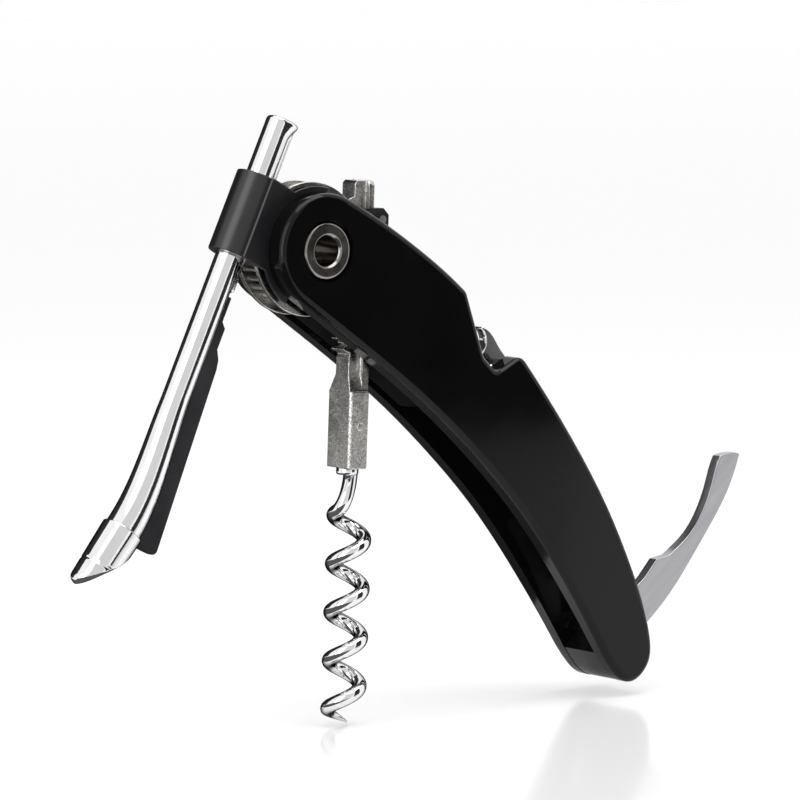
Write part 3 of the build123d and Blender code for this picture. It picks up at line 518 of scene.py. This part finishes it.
MM = 0.001                          # the sizes of the worm, rod and foot are in mm
WORM_AXIS = 15.0                    # from the pivot's axis
WORM_TOP = -54.6                    # upper end of the full coil
WORM_PITCH = 10.15
WORM_TURNS = 4.1                    # turns of full wire
POINT_TURN = 0.3                    # and the part of a turn that thins to the point
COIL_R = 3.25                       # to the wire's middle
WIRE_R = 1.52
WIRE_POINT_R = 0.2
SHANK_X = 14.1                      # the shank stands a little off the coil's axis
SHANK_TOP = -44.0
SHANK_END = -47.1
SHANK_R = 2.35
SHANK_ROUND = 0.5
NECK_X = 15.0
NECK_START = -46.6
NECK_PULL = (3.5, 12.0)             # how far the curve keeps its direction at each end
WORM_STEPS = 480
NECK_STEPS = 60
SHANK_STEPS = 7
WIRE_COLUMNS = 32
RIM_TINT = (0.3, 0.3, 0.3, 1)       # of what polished metal mirrors at a glancing angle


def paint_dark_rim(material, start, end, darkest):
    """Painted dark reflection on the rim of a round polished side, standing for the dark side of a room that
    it would mirror: the colour falls softly to its darkest share between two values of Facing, and the
    glancing reflection is tinted grey."""
    tree = material.node_tree
    facing = add_node(tree, "ShaderNodeLayerWeight", Blend=0.5)
    share = add_node(tree, "ShaderNodeMapRange", interpolation_type="SMOOTHSTEP")
    share.inputs["From Min"].default_value = start
    share.inputs["From Max"].default_value = end
    share.inputs["To Min"].default_value = 1.0
    share.inputs["To Max"].default_value = darkest
    tree.links.new(facing.outputs["Facing"], share.inputs["Value"])
    shade_colour(material, share.outputs[0])
    tree.nodes["Principled BSDF"].inputs["Specular Tint"].default_value = RIM_TINT


def add_surface(name, grid, body, node, finish):
    """Closed smooth piece from a grid of points in mm: each row goes once round, the rows follow
    each other along the piece, and a point closes each end. It stands for a CAD node."""
    rows, columns = grid.shape[:2]
    here = np.arange(rows * columns).reshape(rows, columns)
    beside = np.roll(here, -1, axis=1)
    walls = np.stack([here[:-1], beside[:-1], beside[1:], here[1:]], axis=-1).reshape(-1, 4)
    ends = np.array([rows * columns, rows * columns + 1])
    first = np.stack([beside[0], here[0], np.full(columns, ends[0])], axis=-1)
    last = np.stack([here[-1], beside[-1], np.full(columns, ends[1])], axis=-1)
    points = np.vstack([grid.reshape(-1, 3), grid[0].mean(axis=0), grid[-1].mean(axis=0)]) * MM
    piece = add_mesh(name, points, walls.tolist() + first.tolist() + last.tolist())
    shell = bmesh.new()
    shell.from_mesh(piece.data)
    bmesh.ops.recalc_face_normals(shell, faces=shell.faces)
    shell.to_mesh(piece.data)
    shell.free()
    piece.data.materials.append(finish)
    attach(piece, body)
    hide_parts(node)
    return piece


def carry(centre, way, inner, radius, columns):
    """Profile carried along a path: point = centre + radius * (cos(a) inner + sin(a) side), where
    side stands square to the path and to inner, and radius may vary along and round the piece."""
    around = np.linspace(0, 2 * np.pi, columns, endpoint=False)[None, :, None]
    side = np.cross(way, inner)[:, None, :]
    radius = np.broadcast_to(radius, (len(centre), columns))[:, :, None]
    return centre[:, None, :] + radius * (np.cos(around) * inner[:, None, :] + np.sin(around) * side)


def hermite(start, end, start_way, end_way, share):
    """Cubic curve: (2s^3-3s^2+1) start + (s^3-2s^2+s) start_way + (3s^2-2s^3) end + (s^3-s^2) end_way."""
    s = share[:, None]
    return ((2 * s**3 - 3 * s**2 + 1) * np.array(start) + (s**3 - 2 * s**2 + s) * np.array(start_way)
            + (3 * s**2 - 2 * s**3) * np.array(end) + (s**3 - s**2) * np.array(end_way))


def unit(vectors):
    """Vectors brought to length 1."""
    return vectors / np.linalg.norm(vectors, axis=-1, keepdims=True)


def worm_grid():
    """Shank, neck and coil in one run. The coil's centre line is x = axis - r cos(a), y = r sin(a),
    z = top - pitch a / 2 pi; its wire thins evenly over the last part of a turn."""
    angle = 2 * np.pi * np.linspace(0, WORM_TURNS + POINT_TURN, WORM_STEPS)
    coil = np.stack([WORM_AXIS - COIL_R * np.cos(angle), COIL_R * np.sin(angle),
                     WORM_TOP - WORM_PITCH * angle / (2 * np.pi)], axis=-1)
    coil_way = unit(coil[1] - coil[0])
    neck = hermite((NECK_X, 0, NECK_START), coil[0], (0, 0, -NECK_PULL[0]), NECK_PULL[1] * coil_way,
                   np.linspace(0, 1, NECK_STEPS, endpoint=False))
    corner = np.linspace(0, np.pi / 2, SHANK_STEPS)
    shank_z = np.concatenate([[SHANK_TOP], SHANK_END + SHANK_ROUND * (1 - np.sin(corner)), [SHANK_END]])
    shank_r = np.concatenate([[SHANK_R], SHANK_R - SHANK_ROUND * (1 - np.cos(corner)), [WIRE_R]])
    shank = np.stack([np.full(len(shank_z), SHANK_X), np.zeros(len(shank_z)), shank_z], axis=-1)
    below = neck[neck[:, 2] < SHANK_END]
    centre = np.vstack([shank, below, coil])
    way = np.vstack([np.tile([0, 0, -1.0], (len(shank), 1)),
                     unit(np.gradient(np.vstack([below, coil]), axis=0))])
    outward = centre - np.array([WORM_AXIS, 0, 0])
    outward[:, 2] = 0
    inner = unit(outward - (outward * way).sum(axis=1, keepdims=True) * way)
    thin = np.clip((angle / (2 * np.pi) - WORM_TURNS) / POINT_TURN, 0, 1)
    wire = WIRE_R + (WIRE_POINT_R - WIRE_R) * thin
    radius = np.concatenate([shank_r, np.full(len(below), WIRE_R), wire])
    return carry(centre, way, inner, radius[:, None], WIRE_COLUMNS)


polished_chrome = surface(
    "polished chrome", (0.86, 0.86, 0.87), (0.93, 0.93, 0.94), (0.03, 0.08),
    scale=90.0, fine_scale=420.0, bump=(0.05, 0.00003), metallic=1.0)
# The chrome's rims get a painted dark reflection.
paint_dark_rim(polished_chrome, 0.42, 0.78, 0.02)
add_surface("polished_worm", worm_grid(), "carrier", "worm", polished_chrome)
give(["worm"], polished_chrome)


# ------------------------------------------------------------------ cap lifter
# Stamped steel hook with a curved trough behind it, polished, plated and riveted in the notch
# of the handle's spine.

LIFTER_EDGE = 0.00025

give(["cap_lifter"], surface(
    "bright plating", (0.90, 0.90, 0.90), (0.96, 0.96, 0.96), (0.08, 0.14),
    scale=120.0, fine_scale=2400.0, bump=(0.10, 0.00002), metallic=1.0))
finish_edges("handle", ["cap_lifter"], LIFTER_EDGE)


# ------------------------------------------------------------------ support rod
# Polished and chrome plated steel rod with a rib along its inner side. It slides in the collar,
# and its upper end is flared on the inner side so that it can't slip through.

ARM_TURN = np.array(Matrix.Rotation(math.radians(113.3), 3, "Y"))
ROD_OFFSET = 15.9                   # from the pivot's axis to the rod's
ROD_TOP = -21.9                     # places along the rod are counted from beside the pivot
BEND_START = 40.0
FOOT_START = 68.7
FOOT_DROP = 0.8                     # of the bend's end from the rod's axis
FOOT_SLOPE = math.radians(14.0)
ROD_R = 2.85
ROD_END_R = 3.9
ROD_TOP_ROUND = 0.8
RIB_HALF = 0.9
RIB_HEIGHT = 0.85
RIB_END = 15.5
RIB_FADE = 0.6                      # length over which the rib runs out
RIB_SIDE = 0.16                     # width of each sloping side
FLARE_HEIGHT = 1.5
FLARE_LENGTH = 3.7
FLARE_FOCUS = 1.5                   # larger keeps the flare nearer to the inner side
ROD_CORNER_STEPS = 8
ROD_STEPS = 120
BEND_STEPS = 61
ROD_COLUMNS = 160
FOOT_ORIGIN = np.array([FOOT_START, 0, -ROD_OFFSET - FOOT_DROP])
FOOT_WAY = np.array([math.cos(FOOT_SLOPE), 0, -math.sin(FOOT_SLOPE)])


def smooth(share):
    """Soft step from 0 to 1: 3 s^2 - 2 s^3 between the ends."""
    share = np.clip(share, 0, 1)
    return share * share * (3 - 2 * share)


def rod_grid():
    """Radius = round rod, growing evenly along the bend, plus a flat-topped rib where the side
    coordinate is under half the rib's width, plus a flare that dies away from the upper end."""
    corner = np.linspace(0, np.pi / 2, ROD_CORNER_STEPS)
    top_t = ROD_TOP + ROD_TOP_ROUND * (1 - np.cos(corner))
    cut = ROD_TOP_ROUND * (1 - np.sin(corner))
    straight_t = np.linspace(top_t[-1], BEND_START, ROD_STEPS)[1:]
    reach = FOOT_START - BEND_START
    bend = hermite((BEND_START, 0, -ROD_OFFSET), FOOT_ORIGIN, (reach, 0, 0), reach * FOOT_WAY,
                   np.linspace(0, 1, BEND_STEPS)[1:])
    inside = FOOT_ORIGIN + FOOT_WAY
    t = np.concatenate([top_t, straight_t])
    straight = np.stack([t, np.zeros(len(t)), np.full(len(t), -ROD_OFFSET)], axis=-1)
    centre = np.vstack([straight, bend, inside])
    way = unit(np.gradient(centre, axis=0))
    way[:len(t)] = (1, 0, 0)
    inner = np.stack([-way[:, 2], np.zeros(len(way)), way[:, 0]], axis=-1)
    along = np.concatenate([t, np.full(len(bend) + 1, BEND_START)])[:, None]
    growth = np.concatenate([np.zeros(len(t)), np.linspace(0, 1, BEND_STEPS)[1:], [1]])[:, None]
    around = np.linspace(0, 2 * np.pi, ROD_COLUMNS, endpoint=False)[None, :]
    plain_r = ROD_R + (ROD_END_R - ROD_R) * growth
    beside = np.abs(ROD_R * np.sin(around))
    over_rib = smooth((RIB_HALF + RIB_SIDE / 2 - beside) / RIB_SIDE) * (np.cos(around) > 0)
    rib = RIB_HEIGHT * over_rib * smooth((RIB_END - along) / RIB_FADE)
    inward = np.clip(np.cos(around), 0, 1) ** FLARE_FOCUS
    flare = FLARE_HEIGHT * smooth(1 - (along - ROD_TOP) / FLARE_LENGTH) * inward
    radius = plain_r + np.maximum(rib, flare)
    radius[:len(corner)] -= cut[:, None]
    return carry(centre, way, inner, radius, ROD_COLUMNS) @ ARM_TURN.T


rod_chrome = surface(
    "rod chrome", (0.84, 0.84, 0.85), (0.93, 0.93, 0.94), (0.04, 0.10),
    scale=120.0, fine_scale=2400.0, bump=(0.30, 0.00002), metallic=1.0)
# The chrome's rims get a painted dark reflection.
paint_dark_rim(rod_chrome, 0.52, 0.80, 0.03)
add_surface("polished_rod", rod_grid(), "rod", "support_rod", rod_chrome)
give(["support_rod"], rod_chrome)


# ------------------------------------------------------------------ foot
# Chrome plated cap on the rod's end, drawn out on its outer side and cut back on its inner
# side, where it hooks over the bottle's rim. It is pressed on the rod.

FOOT_TOP_R = 4.4
FOOT_LOW_R = 4.1
FOOT_TOP_ROUND = 0.3
FOOT_MIDDLE = 9.2                   # length on the foot's axis
FOOT_SLANT = 5.7                    # how much longer it is on the outer side
FOOT_BULGE = 0.9                    # and on its flanks
FOOT_RIM = 0.8                      # rounding of the end on the inner side
FOOT_TIP_RIM = 1.5                  # and on the outer side
SCOOP = 1.3                         # depth of the hollow in the end
INNERMOST_TOP = 0.05                # smallest ring on the top, as a share of the radius
INNERMOST_END = 0.03                # and on the end
GROOVE_AT = 9.2
GROOVE_DEPTH = 0.16
GROOVE_HALF = 0.22
FOOT_COLUMNS = 96
FOOT_TOP_STEPS = 4
FOOT_CORNER_STEPS = 8
FOOT_WALL_STEPS = 160
SCOOP_STEPS = 16


def foot_grid():
    """Length at the angle a from the inner side: middle - slant cos(a) + bulge sin(a)^2. The wall
    tapers evenly, less a groove of depth exp(-(distance / half width)^2). A quarter round leads into
    the end, which is scooped by scoop (1 - r^2)."""
    around = np.linspace(0, 2 * np.pi, FOOT_COLUMNS, endpoint=False)[None, :]
    length = FOOT_MIDDLE - FOOT_SLANT * np.cos(around) + FOOT_BULGE * np.sin(around) ** 2
    edge = FOOT_RIM + (FOOT_TIP_RIM - FOOT_RIM) * (1 - np.cos(around)) / 2
    corner = np.linspace(0, np.pi / 2, FOOT_CORNER_STEPS)[:, None]
    whole = np.ones_like(around)
    top_r = (FOOT_TOP_R - FOOT_TOP_ROUND) * np.linspace(INNERMOST_TOP, 1, FOOT_TOP_STEPS)[:, None] * whole
    bevel_r = (FOOT_TOP_R - FOOT_TOP_ROUND * (1 - np.sin(corner))) * whole
    bevel_d = FOOT_TOP_ROUND * (1 - np.cos(corner)) * whole
    wall_d = FOOT_TOP_ROUND + (length - edge - FOOT_TOP_ROUND) * np.linspace(0, 1, FOOT_WALL_STEPS)[1:, None]
    wall_r = FOOT_TOP_R + (FOOT_LOW_R - FOOT_TOP_R) * wall_d / (FOOT_MIDDLE + FOOT_SLANT)
    wall_r = wall_r - GROOVE_DEPTH * np.exp(-((wall_d - GROOVE_AT) / GROOVE_HALF) ** 2)
    rim_r = wall_r[-1:] - edge * (1 - np.cos(corner[1:]))
    rim_d = length - edge + edge * np.sin(corner[1:])
    share = np.linspace(1, INNERMOST_END, SCOOP_STEPS)[1:, None]
    dish_r = rim_r[-1:] * share
    dish_d = (FOOT_MIDDLE - FOOT_SLANT * np.cos(around) * share + FOOT_BULGE * np.sin(around) ** 2 * share**2
              - SCOOP * (1 - share**2))
    depth = np.vstack([0 * top_r, bevel_d, wall_d, rim_d, dish_d])
    radius = np.vstack([top_r, bevel_r, wall_r, rim_r, dish_r])
    inner = np.array([-FOOT_WAY[2], 0, FOOT_WAY[0]])
    side = np.cross(FOOT_WAY, inner)
    points = (FOOT_ORIGIN + depth[:, :, None] * FOOT_WAY + (radius * np.cos(around))[:, :, None] * inner
              + (radius * np.sin(around))[:, :, None] * side)
    return points @ ARM_TURN.T


# The foot shares the rod's chrome, with its painted dark reflection on the rims.
add_surface("polished_foot", foot_grid(), "rod", "rod_foot", rod_chrome)
give(["rod_foot"], rod_chrome)


# ------------------------------------------------------------------ collar
# Sleeve for the rod with its two cheeks, cast and coated satin black. The coat is even,
# with a fine orange skin.

COLLAR_EDGE = 0.0002

give(["rod_collar"], surface(
    "satin black coat", (0.0075, 0.0070, 0.0085), (0.0090, 0.0085, 0.0100), (0.28, 0.32),
    scale=60.0, fine_scale=3000.0, bump=(0.05, 0.00001), specular=0.62))
finish_edges("collar", ["rod_collar"], COLLAR_EDGE)


# ------------------------------------------------------------------ fin
# Flat plate of blasted dark steel, set in a slot along the rod. Its upper end stops the rod
# against the collar.

FIN_EDGE = 0.0002

blasted_steel = surface(
    "blasted dark steel", (0.026, 0.025, 0.028), (0.048, 0.047, 0.051), (0.34, 0.44),
    scale=70.0, fine_scale=5200.0, bump=(0.30, 0.00002), metallic=0.6, specular=0.3)
add_pits(blasted_steel, 5200.0, 0.30, 0.4)
give(["stop_fin"], blasted_steel)
finish_edges("rod", ["stop_fin"], FIN_EDGE)


# ------------------------------------------------------------------ foil knife
# Curved blade of stainless sheet that folds into the handle's tail. It is satin ground
# along its length, and its edges are broken.

BLADE_EDGE = 0.00022
GRIND_TURN = (0, math.radians(-47.4), 0)

give(["foil_knife"], surface(
    "satin blade", (0.42, 0.42, 0.44), (0.52, 0.52, 0.54), (0.28, 0.36),
    scale=500.0, fine_scale=4200.0, bump=(0.16, 0.00002), metallic=1.0, anisotropic=0.3,
    stretch=(1.0, 1.0, 0.06), turn=GRIND_TURN))
finish_edges("knife", ["foil_knife"], BLADE_EDGE)


# ------------------------------------------------------------------ tail liners
# Thin strips of steel, one let into each scale beside the knife's tang. They show inside the channel near
# the tail, and their colour is painted light, lighter than bare steel, to stand for light on them in the
# shaded channel.

give(["tail_liner_front", "tail_liner_back"], surface(
    "steel strip with painted light", (0.80, 0.80, 0.81), (0.92, 0.92, 0.93), (0.36, 0.46),
    scale=420.0, fine_scale=3600.0, bump=(0.16, 0.00003), metallic=0.6))


# ------------------------------------------------------------------ pins and spacers
# Bare steel pins that hold the knife, the scales and the guide, and the two spacers that
# keep the knife in the middle.

give(["knife_pin", "knife_spacer_front", "knife_spacer_back", "scale_pins", "guide_pins"], surface(
    "bare steel", (0.34, 0.34, 0.35), (0.52, 0.52, 0.53), (0.26, 0.38),
    scale=420.0, fine_scale=3600.0, bump=(0.16, 0.00003), metallic=1.0))
